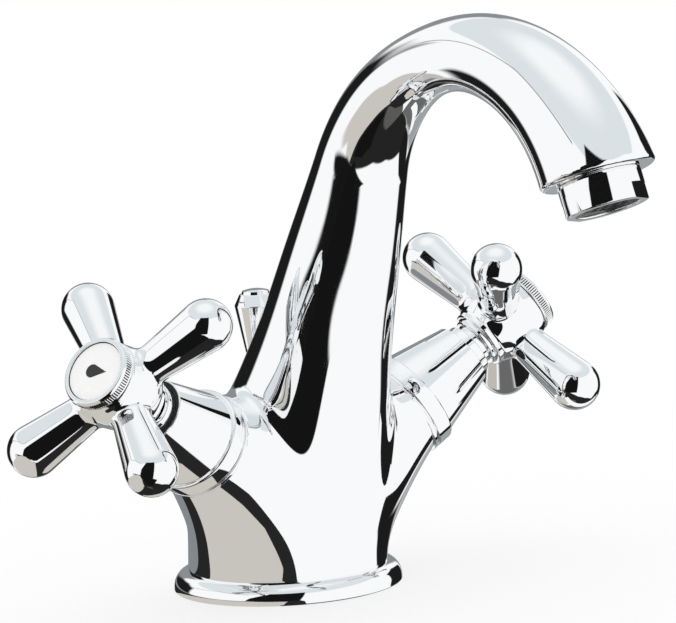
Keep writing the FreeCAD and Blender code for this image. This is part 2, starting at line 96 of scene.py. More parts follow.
def makeChrome():
    material, tree = newMaterial("chromePlate")
    place = addNode(tree, "ShaderNodeTexCoord")
    haze = addNode(tree, "ShaderNodeTexNoise",
                   {"Scale": 1 / (chromePlate["hazeMm"] * mm), "Detail": chromePlate["hazeDetail"]},
                   {"Vector": (place, "Object")})
    hazeLow, hazeHigh = chromePlate["hazeRange"]
    low, high = chromePlate["roughness"]
    rough = addNode(tree, "ShaderNodeMapRange",
                    {"From Min": hazeLow, "From Max": hazeHigh, "To Min": low, "To Max": high},
                    {"Value": (haze, "Fac")})
    wave = addNode(tree, "ShaderNodeTexNoise", {"Scale": 1 / (chromePlate["waveMm"] * mm), "Detail": 0.0},
                   {"Vector": (place, "Object")})
    bump = addNode(tree, "ShaderNodeBump", {"Strength": chromePlate["wave"], "Distance": mm},
                   {"Height": (wave, "Fac")})
    shader = addNode(tree, "ShaderNodeBsdfPrincipled",
                     {"Base Color": linearColour(chromePlate["colour"]), "Metallic": 1.0},
                     {"Roughness": (rough, "Result"), "Normal": (bump, "Normal")})
    addNode(tree, "ShaderNodeOutputMaterial", links={"Surface": (shader, "BSDF")})
    return material


# Plain finishes: a fine grain mixes two shades and two roughnesses, and lifts the surface a little
finishes = {
    # Turned brass, warm yellow with a satin sheen
    "machinedBrass": {"colour": ("#c9a55a", "#b08d48"), "metallic": 1.0, "roughness": (0.22, 0.36),
                      "grainMm": 0.5, "bump": 0.05},
    # Black rubber, dull and even; the same black also paints the shade sunk in the gap of each bonnet cover
    "nitrileRubber": {"colour": ("#1c1c1c", "#262626"), "metallic": 0.0, "roughness": (0.6, 0.8),
                      "grainMm": 0.4, "bump": 0.08},
    # Red-brown fibre, matt and grainy like card
    "vulcanisedFibre": {"colour": ("#7d3a2c", "#6a2f24"), "metallic": 0.0, "roughness": (0.6, 0.8),
                        "grainMm": 0.3, "bump": 0.1},
    # Off-white ceramic, lapped to a soft gloss
    "aluminaCeramic": {"colour": ("#eeebe4", "#e4e0d8"), "metallic": 0.0, "roughness": (0.15, 0.25),
                       "grainMm": 0.6, "bump": 0.02},
    # Grey steel with a low, slightly blurred shine
    "stainlessSteel": {"colour": ("#b9babb", "#a6a7a9"), "metallic": 1.0, "roughness": (0.25, 0.4),
                       "grainMm": 0.4, "bump": 0.05},
    # Near-black plastic with a slight sheen
    "acetalPlastic": {"colour": ("#2c2c2c", "#343434"), "metallic": 0.0, "roughness": (0.4, 0.55),
                      "grainMm": 0.5, "bump": 0.03},
    # White enamel, smooth and glossy
    "whiteEnamel": {"colour": ("#fbfbfa", "#f3f3f2"), "metallic": 0.0, "roughness": (0.08, 0.14),
                    "grainMm": 2.0, "bump": 0.01},
    # Black enamel print, half gloss; the same black also paints the shade in the gap round the index disc
    # and in the knurl's grooves
    "blackEnamel": {"colour": ("#1b1c1e", "#242528"), "metallic": 0.0, "roughness": (0.2, 0.3),
                    "grainMm": 0.6, "bump": 0.02},
}
grainDetail, grainDepth = 3.0, 0.2 * mm


def makeFinish(name):
    values = finishes[name]
    material, tree = newMaterial(name)
    place = addNode(tree, "ShaderNodeTexCoord")
    grain = addNode(tree, "ShaderNodeTexNoise",
                    {"Scale": 1 / (values["grainMm"] * mm), "Detail": grainDetail},
                    {"Vector": (place, "Object")})
    first, second = (linearColour(c) for c in values["colour"])
    tint = mixColours(tree, (grain, "Fac"), first, second)
    low, high = values["roughness"]
    rough = addNode(tree, "ShaderNodeMapRange", {"To Min": low, "To Max": high}, {"Value": (grain, "Fac")})
    bump = addNode(tree, "ShaderNodeBump", {"Strength": values["bump"], "Distance": grainDepth},
                   {"Height": (grain, "Fac")})
    shader = addNode(tree, "ShaderNodeBsdfPrincipled", {"Metallic": values["metallic"]},
                     {"Base Color": tint, "Roughness": (rough, "Result"), "Normal": (bump, "Normal")})
    addNode(tree, "ShaderNodeOutputMaterial", links={"Surface": (shader, "BSDF")})
    return material


chrome = makeChrome()
finish = {name: makeFinish(name) for name in finishes}
print("materials", len(finish) + 1)


# Meshes. Points are millimetres in the tap's frame until they become a piece
sharpEdge = 35                    # degrees between faces from which an edge stays sharp
onAxis = 1e-6                     # a radius below this is a point on the axis


# A piece takes its own normals where it has them, and is otherwise smooth up to a sharp angle
def makePiece(name, points, faces, material, normals=None, sharpAngle=sharpEdge):
    mesh = bpy.data.meshes.new(name)
    mesh.from_pydata((np.asarray(points) * mm).tolist(), [], [list(map(int, f)) for f in faces])
    mesh.shade_smooth()
    if normals is None:
        mesh.set_sharp_from_angle(angle=math.radians(sharpAngle))
    else:
        mesh.normals_split_custom_set_from_vertices(normals.tolist())
    piece = bpy.data.objects.new(name, mesh)
    bpy.context.scene.collection.objects.link(piece)
    mesh.materials.append(material)
    return piece


# Turned shape about Z: a closed outline of (radius, height) points
def turnedShape(outline, segments=160):
    points, rows = [], []
    angles = np.arange(segments) * 2 * math.pi / segments
    for radius, height in outline:
        if radius < onAxis:
            rows.append([len(points)] * segments)
            points.append((0, 0, height))
        else:
            rows.append(list(range(len(points), len(points) + segments)))
            points += [(radius * math.cos(a), radius * math.sin(a), height) for a in angles]
    faces = []
    for k, low in enumerate(rows):
        following = (k + 1) % len(rows)
        high = rows[following]
        if max(outline[k][0], outline[following][0]) < onAxis:
            continue
        for i in range(segments):
            j = (i + 1) % segments
            faces.append(list(dict.fromkeys((low[i], low[j], high[j], high[i]))))     # each point once
    return np.array(points, float), faces


# Points on an arc from one (radius, height) to another about a centre, ends included
def arcPoints(centre, start, end, steps):
    a = math.atan2(start[1] - centre[1], start[0] - centre[0])
    b = math.atan2(end[1] - centre[1], end[0] - centre[0])
    b += 2 * math.pi * round((a - b) / (2 * math.pi))
    radius = math.dist(centre, start)
    return [(centre[0] + radius * math.cos(a + (b - a) * k / steps),
             centre[1] + radius * math.sin(a + (b - a) * k / steps)) for k in range(steps + 1)]


# Rounds each corner of an outline that has a third number, its radius
def roundedOutline(corners, steps=6):
    outline = []
    count = len(corners)
    for k, corner in enumerate(corners):
        here = np.array(corner[:2], float)
        if len(corner) < 3:
            outline.append(tuple(here))
            continue
        before = np.array(corners[k - 1][:2], float) - here
        after = np.array(corners[(k + 1) % count][:2], float) - here
        before, after = before / np.linalg.norm(before), after / np.linalg.norm(after)
        half = math.acos(np.clip(before @ after, -1, 1)) / 2
        run = corner[2] / math.tan(half)
        middle = before + after
        centre = here + middle / np.linalg.norm(middle) * corner[2] / math.sin(half)
        outline += arcPoints(centre, here + before * run, here + after * run, steps)
    return outline


# Points of a low crown, from its rim in to the axis
def crownPoints(radius, foot, rise, steps):
    return [(radius * k / steps, foot + rise * (1 - (k / steps) ** 2)) for k in range(steps, -1, -1)]


def joinShapes(*shapes):
    points, faces, start = [], [], 0
    for shapePoints, shapeFaces in shapes:
        points.append(shapePoints)
        faces += [[v + start for v in face] for face in shapeFaces]
        start += len(shapePoints)
    return np.vstack(points), faces


# The valves' axes meet in the body, slope up and sweep to the front. A place is a turn and an origin
valves = {"meetY": -1.8, "meetZ": 19.2, "slope": 32.8, "sweep": 13.2, "bossEnd": 38.4}


def valvePlace(side):
    slope, sweep = math.radians(valves["slope"]), math.radians(valves["sweep"])
    back = np.array([math.sin(sweep), math.cos(sweep), 0])
    axis = np.array([math.cos(sweep) * math.cos(slope), -math.sin(sweep) * math.cos(slope), math.sin(slope)])
    turn = np.stack([back, np.cross(axis, back), axis], 1)
    if side == "left":
        turn = np.diag([-1.0, 1.0, 1.0]) @ turn
    return turn, np.array([0, valves["meetY"], valves["meetZ"]])


# Moves a shape to a place. A mirrored place also turns the faces round
def placed(shape, place, spin=0.0):
    points, faces = shape
    turn, origin = place
    c, s = math.cos(math.radians(spin)), math.sin(math.radians(spin))
    local = points @ np.array([[c, -s, 0], [s, c, 0], [0, 0, 1.0]]).T
    if np.linalg.det(turn) < 0:
        faces = [face[::-1] for face in faces]
    return local @ turn.T + origin, faces


# Closed surface where a field of signed distance is zero, with one point for each grid cell on it
def netSurface(field, low, high, step):
    axes = [np.arange(a, b + step, step) for a, b in zip(low, high)]
    shape = tuple(len(a) for a in axes)
    values = np.empty(shape)
    y, z = np.meshgrid(axes[1], axes[2], indexing="ij")
    for i, x in enumerate(axes[0]):
        values[i] = field(np.stack([np.full(y.size, x), y.ravel(), z.ravel()], 1)).reshape(shape[1:])
    total = np.zeros((values.size, 3))
    hits = np.zeros(values.size)
    strides = np.array([shape[1] * shape[2], shape[2], 1])
    quads = []
    for axis in range(3):
        firstPart = [slice(1, -1)] * 3
        firstPart[axis] = slice(0, -1)
        secondPart = list(firstPart)
        secondPart[axis] = slice(1, None)
        a, b = values[tuple(firstPart)], values[tuple(secondPart)]
        index = np.argwhere((a < 0) != (b < 0))
        va, vb = a[tuple(index.T)], b[tuple(index.T)]
        index = index + [s.start for s in firstPart]
        crossing = index.astype(float)
        crossing[:, axis] += va / (va - vb)
        corner = index @ strides
        other, third = strides[(axis + 1) % 3], strides[(axis + 2) % 3]
        cells = [corner, corner - other, corner - other - third, corner - third]
        for cell in cells:
            np.add.at(total, cell, crossing)
            np.add.at(hits, cell, 1)
        quad = np.stack(cells, 1)
        outward = va < 0
        quads.append(np.where(outward[:, None], quad, quad[:, ::-1]))
    used = np.flatnonzero(hits)
    number = np.full(values.size, -1)
    number[used] = np.arange(len(used))
    points = total[used] / hits[used][:, None] * step + np.array([a[0] for a in axes])
    return points, number[np.vstack(quads)]


settling = {"rounds": 4, "reach": 0.02, "leastSlope": 0.05, "leastMove": 1e-9}     # lengths in millimetres


def fieldSlope(field, points):
    reach = settling["reach"]
    slope = np.empty_like(points)
    for axis in range(3):
        shift = np.zeros(3)
        shift[axis] = reach
        slope[:, axis] = (field(points + shift) - field(points - shift)) / (2 * reach)
    return slope


# Pulls the net's points onto the surface itself and returns its true normals too
def settledSurface(field, low, high, step):
    points, faces = netSurface(field, low, high, step)
    for _ in range(settling["rounds"]):
        slope = fieldSlope(field, points)
        size = np.maximum((slope ** 2).sum(1), settling["leastSlope"])
        move = -field(points)[:, None] * slope / size[:, None]
        length = np.linalg.norm(move, axis=1, keepdims=True)
        points = points + move * np.minimum(1, step / np.maximum(length, settling["leastMove"]))
    slope = fieldSlope(field, points)
    return points, faces.tolist(), slope / np.linalg.norm(slope, axis=1, keepdims=True)


# Two fields as one with a soft seam
def softJoin(a, b, soft):
    least = np.minimum(a, b)
    return least - soft * np.log1p(np.exp(-np.abs(a - b) / soft))


# What two fields share, with a round edge where they meet
def roundCut(a, b, radius):
    return (np.hypot(np.maximum(a + radius, 0), np.maximum(b + radius, 0)) - radius
            + np.minimum(np.maximum(a, b) + radius, 0))


# Smooth curve through stations, by a natural cubic spline
def smoothCurve(stations):
    x, y = np.array(stations, float).T
    n, h = len(x), np.diff(x)
    system, right = np.eye(n), np.zeros(n)
    for k in range(1, n - 1):
        system[k, k - 1:k + 2] = h[k - 1], 2 * (h[k - 1] + h[k]), h[k]
        right[k] = 6 * ((y[k + 1] - y[k]) / h[k] - (y[k] - y[k - 1]) / h[k - 1])
    bend = np.linalg.solve(system, right)

    def value(t):
        t = np.clip(t, x[0], x[-1])
        k = np.clip(np.searchsorted(x, t) - 1, 0, n - 2)
        a, b = (x[k + 1] - t) / h[k], (t - x[k]) / h[k]
        return (a * y[k] + b * y[k + 1]
                + ((a ** 3 - a) * bend[k] + (b ** 3 - b) * bend[k + 1]) * h[k] ** 2 / 6)
    return value


# Body: foot, leaning neck, arched spout and two valve arms in one casting
body = {
    "footRadius": 24.7, "footZ": 5.0, "footTaper": 0.04, "footBend": 0.0102, "fadeZ": (8.0, 36.0),
    "neckFootZ": 14.6, "lean": 22.0, "neckLength": 99.5, "archRadius": 45.6, "archTurn": 134.0,
    "spoutRadii": ((0, 24.0), (13, 22.8), (30, 20.6), (51, 17.0), (75, 14.2), (99.5, 11.4), (119, 9.75),
                   (138.5, 8.45), (160, 9.9), (183, 11.9), (206.1, 13.7)),     # run along the spout, radius
    "outletTilt": 20.0, "mouthRound": 1.2,
    "armRoot": (4.1, -0.96, 8.0), "armMiddleRun": 21.0, "armStations": (0, 0.6, 1.0),
    "armRadii": (16.5, 17.6, 13.1), "armBlend": 2.0, "armTopZ": 75.0, "intoCover": 0.8,
    "intoRing": 1.0, "spigotRadius": 20.0, "inlet": (9.0, -4.0, 4.5, 14.0), "stud": (-12.5, 3.4, 16.0),
    "rodY": 6.5, "rodBossRadius": 5.6, "rodBossZ": (25.0, 52.0), "rodBlend": 0.5, "spotFaceRadius": 5.0,
    "rodHoleRadius": 2.8, "box": ((-43, -140, -2), (43, 29, 150)), "grid": 0.9,
}
lean = math.radians(body["lean"])
spoutRadius = smoothCurve(body["spoutRadii"])
neckTop = body["neckFootZ"] + body["neckLength"] * math.cos(lean)
neckEnd = np.array([-body["neckLength"] * math.sin(lean), neckTop])
archCentre = neckEnd - body["archRadius"] * np.array([math.cos(lean), math.sin(lean)])
archEnd = lean + math.radians(body["archTurn"])
mouthPoint = archCentre + body["archRadius"] * np.array([math.cos(archEnd), math.sin(archEnd)])
outletTurn = math.radians(body["outletTilt"])
outletAxis = np.array([0, -math.sin(outletTurn), -math.cos(outletTurn)])
outletSide = np.array([1.0, 0, 0])
outletPlace = (np.stack([outletSide, np.cross(outletAxis, outletSide), outletAxis], 1),
               np.array([0, *mouthPoint]))


# The middle line of the right valve arm: a curve through three points, with a radius that changes along it
def armLine():
    turn, meet = valvePlace("right")
    middle, end = meet + turn[:, 2] * body["armMiddleRun"], meet + turn[:, 2] * valves["bossEnd"]
    stations = np.array(body["armStations"])
    centres = np.stack([body["armRoot"], middle, end])
    return np.polyfit(stations, centres, 2), np.polyfit(stations, body["armRadii"], 2)


armCurve, armRadius = armLine()
armSearch = {"end": 1.15, "tries": 24, "rounds": 3, "leastBend": 1.0}     # the arm itself ends at 1


def armPoint(t):
    return t[:, None] ** 2 * armCurve[0] + t[:, None] * armCurve[1] + armCurve[2]


# Distance to an arm: the best of a few tries on its middle line, made exact by Newton's steps
def armField(points, sign):
    p = points * [sign, 1, 1]
    tries = np.linspace(0, armSearch["end"], armSearch["tries"])
    t = tries[((p[:, None, :] - armPoint(tries)) ** 2).sum(2).argmin(1)]
    for _ in range(armSearch["rounds"]):
        away = armPoint(t) - p
        rate = 2 * t[:, None] * armCurve[0] + armCurve[1]
        bend = np.maximum((rate ** 2).sum(1) + 2 * away @ armCurve[0], armSearch["leastBend"])
        t = np.clip(t - (away * rate).sum(1) / bend, 0, armSearch["end"])
    turn, meet = valvePlace("right")
    beyond = (p - meet) @ turn[:, 2] - valves["bossEnd"] - body["intoCover"]
    return np.maximum(np.linalg.norm(armPoint(t) - p, axis=1) - np.polyval(armRadius, t), beyond)


# Neck and arch: distance from a middle line that is straight first and an arc then
def spoutField(p):
    x, y, z = p.T
    run = -y * math.sin(lean) + (z - body["neckFootZ"]) * math.cos(lean)
    offset = y * math.cos(lean) + (z - body["neckFootZ"]) * math.sin(lean)
    reach = np.hypot(y - archCentre[0], z - archCentre[1])
    angle = np.arctan2(z - archCentre[1], y - archCentre[0])
    angle = np.where(angle < lean - math.pi / 2, angle + 2 * math.pi, angle)
    arched = run > body["neckLength"]
    run = np.where(arched, body["neckLength"] + body["archRadius"] * (angle - lean), run)
    offset = np.where(arched, reach - body["archRadius"], offset)
    return np.hypot(x, offset) - spoutRadius(run)


def footField(p):
    x, y, z = p.T
    rise = np.maximum(z - body["footZ"], 0)
    return np.hypot(x, y + body["footBend"] * rise ** 2) - body["footRadius"] + body["footTaper"] * rise


# Holes from below: two water inlets, the stud's and the lift rod's
def holeField(p):
    x, y, z = p.T
    inletX, inletY, inletRadius, inletDepth = body["inlet"]
    studY, studRadius, studDepth = body["stud"]
    inlets = np.maximum(np.hypot(np.abs(x) - inletX, y - inletY) - inletRadius, z - inletDepth)
    stud = np.maximum(np.hypot(x, y - studY) - studRadius, z - studDepth)
    return np.minimum(np.minimum(inlets, stud), np.hypot(x, y - body["rodY"]) - body["rodHoleRadius"])


def bodyField(p):
    x, y, z = p.T
    low, high = body["fadeZ"]
    t = np.clip((z - low) / (high - low), 0, 1)
    fade = t ** 3 * (t * (6 * t - 15) + 10)     # level at both ends
    value = (1 - fade) * footField(p) + fade * spoutField(p)
    near = z < body["armTopZ"]
    if near.any():
        arms = softJoin(armField(p[near], 1), armField(p[near], -1), body["armBlend"])
        value[near] = softJoin(value[near], arms, body["armBlend"])
    rod = np.hypot(x, y - body["rodY"])
    bossLow, bossHigh = body["rodBossZ"]
    bossEnds = np.abs(z - (bossLow + bossHigh) / 2) - (bossHigh - bossLow) / 2
    value = softJoin(value, np.maximum(rod - body["rodBossRadius"], bossEnds), body["rodBlend"])
    value = np.maximum(value, -np.maximum(rod - body["spotFaceRadius"], bossHigh - z))
    mouth = np.minimum((p - outletPlace[1]) @ outletAxis, archCentre[0] - y)
    value = roundCut(value, mouth, body["mouthRound"])
    value = np.maximum(value, body["footZ"] - body["intoRing"] - z)
    spigot = np.maximum(np.hypot(x, y) - body["spigotRadius"], np.maximum(-z, z - body["footZ"]))
    return np.maximum(np.minimum(value, spigot), -holeField(p))


bodyPoints, bodyFaces, bodyNormals = settledSurface(bodyField, *body["box"], body["grid"])
bodyPiece = makePiece("casting", bodyPoints, bodyFaces, chrome, bodyNormals)
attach(bodyPiece, tapBody)
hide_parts("body")
print("body", len(bodyPoints))


# Base ring: a low cushion between the basin and the foot
baseRing = {"radius": 28.5, "height": 5.0, "band": 0.9, "lap": 0.4, "bore": 20.05, "edge": 0.3,
            "cushionPoints": 16, "segments": 256}
ringTop = body["footRadius"] + baseRing["lap"]
cushionSpan = (baseRing["radius"] - ringTop, baseRing["height"] - baseRing["band"])
cushion = [(ringTop + cushionSpan[0] * math.cos(a), baseRing["band"] + cushionSpan[1] * math.sin(a))
           for a in np.linspace(0, math.pi / 2, baseRing["cushionPoints"])]
ringFoot = [(baseRing["bore"], 0), (baseRing["radius"] - baseRing["edge"], 0),
            (baseRing["radius"], baseRing["edge"])]
ringOutline = ringFoot + cushion + [(baseRing["bore"], baseRing["height"])]
ringPiece = makePiece("baseRing", *turnedShape(ringOutline, baseRing["segments"]), chrome)
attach(ringPiece, tapBody)
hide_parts("base_ring")


# Bonnet covers: a collar with a groove and a bead, then a cone, and a short sleeve that comes out of its end
cover = {
    "radius": 13.15, "lip": 1.0, "groove": (0.5, 0.5), "bead": 4.4, "coneWide": 12.2, "coneNarrow": 8.3,
    "coneLength": 15.4, "shoulder": 1.1, "mouth": 5.6, "wall": 1.4, "bay": 12.0, "bayDrop": 2.6,
    "sleeve": (6.8, 2.5), "gap": (7.9, 1.6),
    "lipRound": 0.2, "beadRounds": (0.3, 0.7), "coneRounds": (0.15, 0.25), "gapRound": 0.1,
    "sleeveRounds": (0.3, 0.2),
}
coverTip = (valves["bossEnd"] + cover["lip"] + cover["groove"][1] + cover["bead"] + cover["coneLength"]
            + cover["shoulder"])


def coverShape():
    radius, bay, mouth, wall = (cover[name] for name in ("radius", "bay", "mouth", "wall"))
    wide, narrow, lipRound = (cover[name] for name in ("coneWide", "coneNarrow", "lipRound"))
    grooveDepth, grooveWidth = cover["groove"]
    sleeveRadius, sleeveLength = cover["sleeve"]
    gapRadius, gapDepth = cover["gap"]
    end = valves["bossEnd"]
    grooveRun = end + cover["lip"]
    beadRun = grooveRun + grooveWidth
    coneRun = beadRun + cover["bead"]
    innerEnd = coneRun + cover["coneLength"] - gapDepth
    sleeveEnd = coverTip + sleeveLength
    collar = [(bay, end), (radius, end, lipRound), (radius, grooveRun, lipRound),
              (radius - grooveDepth, grooveRun), (radius - grooveDepth, beadRun),
              (radius, beadRun, cover["beadRounds"][0]), (radius, coneRun, cover["beadRounds"][1])]
    cone = [(wide, coneRun, cover["coneRounds"][0]), (narrow, coverTip, cover["coneRounds"][1]),
            (gapRadius, coverTip, cover["gapRound"]), (gapRadius, coverTip - gapDepth)]
    sleeve = [(sleeveRadius, coverTip - gapDepth), (sleeveRadius, sleeveEnd, cover["sleeveRounds"][0]),
              (mouth, sleeveEnd, cover["sleeveRounds"][1])]
    inside = [(mouth, innerEnd), (narrow - wall, innerEnd - wall), (wide - wall, coneRun),
              (bay, coneRun - cover["bayDrop"])]
    return turnedShape(roundedOutline(collar + cone + sleeve + inside))


# Painted shade: a dark ring sunk in the gap between the cone's end and the sleeve, standing in for the shade
# inside the gap
coverGapShade = {"clear": 0.02, "lift": 0.05, "sunk": 0.15, "round": 0.15}


def gapShadeShape():
    low, high = coverTip - cover["gap"][1] + coverGapShade["lift"], coverTip - coverGapShade["sunk"]
    inner, outer = cover["sleeve"][0] + coverGapShade["clear"], cover["gap"][0] - coverGapShade["clear"]
    edge = coverGapShade["round"]
    outline = [(inner, low), (outer, low), (outer, high, edge), (inner, high, edge)]
    return turnedShape(roundedOutline(outline))


for side in handleSets:
    piece = makePiece(side + "BonnetCover", *placed(coverShape(), valvePlace(side)), chrome)
    # Each cover's gap gets its ring of painted shade, in the rubber's black
    gapShade = makePiece(side + "CoverSeal", *placed(gapShadeShape(), valvePlace(side)), finish["nitrileRubber"])
    for part, slotName in ((piece, "chrome"), (gapShade, "rubber")):
        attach(part, tapBody)
    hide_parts(side + "_bonnet_cover")
print("ring and covers")


# Cross handles: a barrel hub with four arms that swell into balls, and turned steps behind it. Pairs are a
# radius and a place, which is a height from the arms' middle for hub and steps, and a distance for an arm
cross = {
    "run": 74.3, "hubRear": (7.9, -7.0), "hubBack": (9.4, -3.5), "hubMiddle": (10.0, 0),
    "hubFront": (9.0, 7.5), "hubEdge": 0.9, "armRoot": (4.3, 6.0), "ball": (6.49, 26.4), "blend": 0.7,
    "steps": ((5.3, -15.65), (6.7, -9.2), (7.9, -8.0)), "stepEdge": 0.4, "stepLap": 0.5, "stepSegments": 128,
    "spin": {"left": 49.0, "right": 44.0}, "margin": (1.0, 1.5), "grid": 0.55,
}
hubCurve = smoothCurve([cross[name][::-1] for name in ("hubRear", "hubBack", "hubMiddle", "hubFront")])


def crossField(p):
    x, y, z = p.T
    ends = np.maximum(z - cross["hubFront"][1], cross["hubRear"][1] - z)
    hub = roundCut(np.hypot(x, y) - hubCurve(z), ends, cross["hubEdge"])
    rootRadius, start = cross["armRoot"]
    ballRadius, end = cross["ball"]
    length = end - start
    sine = (rootRadius - ballRadius) / length
    cosine = math.sqrt(1 - sine ** 2)
    along = np.maximum(np.abs(x), np.abs(y)) - start
    across = np.hypot(np.minimum(np.abs(x), np.abs(y)), z)
    run = cosine * along - sine * across
    arm = cosine * across + sine * along - rootRadius
    arm = np.where(run > cosine * length, np.hypot(across, along - length) - ballRadius, arm)
    arm = np.where(run < 0, np.hypot(across, along) - rootRadius, arm)
    return softJoin(hub, arm, cross["blend"])


# The steps grow towards the hub, and the last one ends inside it
def stepShape():
    edge = cross["stepEdge"]
    heights = [cross["run"] + low for _, low in cross["steps"]]
    heights.append(cross["run"] + cross["hubRear"][1] + cross["stepLap"])
    outline = [(0, heights[0])]
    for (radius, _), low, high in zip(cross["steps"], heights, heights[1:]):
        outline += [(radius, low, edge), (radius, high, edge)]
    lastRadius, top, _ = outline.pop()
    return turnedShape(roundedOutline(outline + [(lastRadius, top), (0, top)]), cross["stepSegments"])


sideMargin, endMargin = cross["margin"]
crossReach = sum(cross["ball"]) + sideMargin
crossLow = (-crossReach, -crossReach, cross["hubRear"][1] - endMargin)
crossHigh = (crossReach, crossReach, cross["hubFront"][1] + endMargin)
crossPoints, crossFaces, crossNormals = settledSurface(crossField, crossLow, crossHigh, cross["grid"])
crossPoints[:, 2] += cross["run"]

for side, spin in cross["spin"].items():
    place = valvePlace(side)
    shell, shellFaces = placed((crossPoints, crossFaces), place, spin)
    towards = placed((crossPoints + crossNormals, []), place, spin)[0] - shell
    piece = makePiece(side + "CrossHandle", shell, shellFaces, chrome, towards)
    steps = makePiece(side + "HandleSteps", *placed(stepShape(), place), chrome)
    for part in (piece, steps):
        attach(part, handleSets[side])
    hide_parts(side + "_handle")
print("handles", len(crossPoints))


# Index caps: a low knurled cap on the hub, and a white disc with a plain drop mark
cap = {
    "radius": 8.8, "height": 3.0, "plug": (7.2, 3.6), "bead": 8.95, "edge": 0.5, "rim": 0.5, "seat": 1.1,
    "footBead": (0.45, 0.5), "topBead": (0.3, 0.25), "beadRounds": (0.2, 0.1), "rimRounds": (0.3, 0.1),
    "disc": 7.55, "discCrown": 0.25, "discSteps": 12, "border": 0.2, "borderClear": 0.01,
    "ridges": 88, "ridgeRadius": 0.2, "ridgeLength": 1.75, "ridgeSides": 8, "ridgeDrop": 0.15,
    "bandRadius": 8.85, "bandDepth": 0.1, "bandEnds": (0.55, 0.35),
}
capRun = cross["run"] + cross["hubFront"][1]
capTop = capRun + cap["height"]


# Ridges round the cap's edge: a node tree puts one small bar on each point of a circle
def ridgeTree():
    tree = bpy.data.node_groups.new("capKnurl", "GeometryNodeTree")
    tree.interface.new_socket("Geometry", in_out="OUTPUT", socket_type="NodeSocketGeometry")
    for name, kind in (("Ridges", "Int"), ("Radius", "Float"), ("Bar", "Float"), ("Length", "Float"),
                       ("Material", "Material")):
        tree.interface.new_socket(name, in_out="INPUT", socket_type="NodeSocket" + kind)
    entry = addNode(tree, "NodeGroupInput")
    circle = addNode(tree, "GeometryNodeMeshCircle",
                     links={"Vertices": (entry, "Ridges"), "Radius": (entry, "Radius")})
    bar = addNode(tree, "GeometryNodeMeshCylinder", {"Vertices": cap["ridgeSides"], "Side Segments": 1},
                  {"Radius": (entry, "Bar"), "Depth": (entry, "Length")})
    ridges = addNode(tree, "GeometryNodeInstanceOnPoints",
                     links={"Points": (circle, "Mesh"), "Instance": (bar, "Mesh")})
    solid = addNode(tree, "GeometryNodeRealizeInstances", links={"Geometry": (ridges, "Instances")})
    coated = addNode(tree, "GeometryNodeSetMaterial",
                     links={"Geometry": (solid, "Geometry"), "Material": (entry, "Material")})
    addNode(tree, "NodeGroupOutput", links={"Geometry": (coated, "Geometry")})
    return tree


knurlTree = ridgeTree()


# Runs a node tree on an empty piece and keeps its result as a plain mesh
def meshFromTree(name, tree, values):
    holder = bpy.data.objects.new(name, bpy.data.meshes.new(name))
    bpy.context.scene.collection.objects.link(holder)
    modifier = holder.modifiers.new("shape", "NODES")
    modifier.node_group = tree
    for item in tree.interface.items_tree:
        if item.in_out == "INPUT" and item.name in values:
            modifier[item.identifier] = values[item.name]
    seen = holder.evaluated_get(bpy.context.evaluated_depsgraph_get())
    mesh = bpy.data.meshes.new_from_object(seen)
    holder.modifiers.remove(modifier)
    holder.data = mesh
    return holder


def capShape():
    radius, bead, edge, disc = (cap[name] for name in ("radius", "bead", "edge", "disc"))
    plugRadius, plugDepth = cap["plug"]
    footRound, topRound = cap["beadRounds"]
    outerRound, innerRound = cap["rimRounds"]
    seat = capTop - cap["rim"] - cap["seat"]
    plug = [(0, capRun - plugDepth), (plugRadius, capRun - plugDepth), (plugRadius, capRun)]
    wall = [(bead, capRun, footRound), (bead, capRun + cap["footBead"][0], footRound),
            (radius, capRun + cap["footBead"][1]), (radius, capTop - edge - cap["topBead"][0]),
            (bead, capTop - edge - cap["topBead"][1], topRound)]
    rim = [(bead - edge, capTop, outerRound), (disc, capTop, innerRound), (disc, seat), (0, seat)]
    return turnedShape(roundedOutline(plug + wall + rim))


def discShape():
    top = capTop - cap["rim"]
    radius = cap["disc"] - cap["border"]
    crown = crownPoints(radius, top, cap["discCrown"], cap["discSteps"])
    return turnedShape([(0, top - cap["seat"]), (radius, top - cap["seat"])] + crown)


# Painted shade of the cap: a thin dark ring that fills the gap round the disc, and a dark band in the
# knurl's grooves, both standing in for the shade there
def paintedShadeRings():
    gapTop = capTop - cap["rim"]
    bandLow, bandHigh = capRun + cap["bandEnds"][0], capTop - cap["edge"] - cap["bandEnds"][1]
    rings = []
    for inner, outer, low, high in (
            (cap["disc"] - cap["border"], cap["disc"] - cap["borderClear"], gapTop - cap["seat"], gapTop),
            (cap["radius"] - cap["bandDepth"], cap["bandRadius"], bandLow, bandHigh)):
        rings.append(turnedShape([(inner, low), (outer, low), (outer, high), (inner, high)]))
    return joinShapes(*rings)


# Drop: a round bottom drawn up to a point, a little raised from the disc
mark = {"radius": 1.7, "tip": 4.3, "shift": -0.9, "thick": 0.04, "lift": 0.27, "arcPoints": 40, "spin": 90.0}


def dropShape():
    low = capTop - cap["rim"] + mark["lift"] - mark["thick"]
    shoulder = math.acos(mark["radius"] / mark["tip"])
    outline = [(0, mark["tip"])]
    for a in np.linspace(math.pi / 2 + shoulder, 2.5 * math.pi - shoulder, mark["arcPoints"]):
        outline.append((mark["radius"] * math.cos(a), mark["radius"] * math.sin(a)))
    count = len(outline)
    points = [(x, y + mark["shift"], low + h) for h in (0, mark["thick"]) for x, y in outline]
    faces = [list(range(count))[::-1], list(range(count, 2 * count))]
    faces += [[k, (k + 1) % count, count + (k + 1) % count, count + k] for k in range(count)]
    return np.array(points), faces


